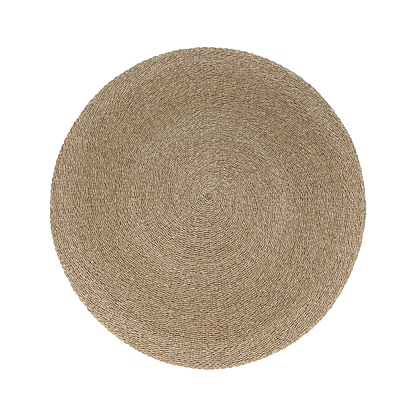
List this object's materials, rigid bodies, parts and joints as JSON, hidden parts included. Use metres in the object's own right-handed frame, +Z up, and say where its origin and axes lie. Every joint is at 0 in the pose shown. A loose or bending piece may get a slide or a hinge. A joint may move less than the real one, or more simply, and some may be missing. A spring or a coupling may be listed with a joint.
{
  "type": "round woven rug",
  "caption": "Round flat rug of twined plant-fibre cord, its rows wound in one spiral from an off-centre eye out to a low plaited rim.",
  "frame": {"origin": "on the floor, under the middle of the outline's bounding box", "axes": "+Z up through the rug's thickness; +Y towards the side that the spiral's eye is nearer to; +X to the right, seen from above"},
  "size_m": [1.4882, 1.516, 0.012],
  "materials": {
    "cord": "matte"
  },
  "bodies": {
    "root": {"rug": "cord"}
  },
  "joints": []
}
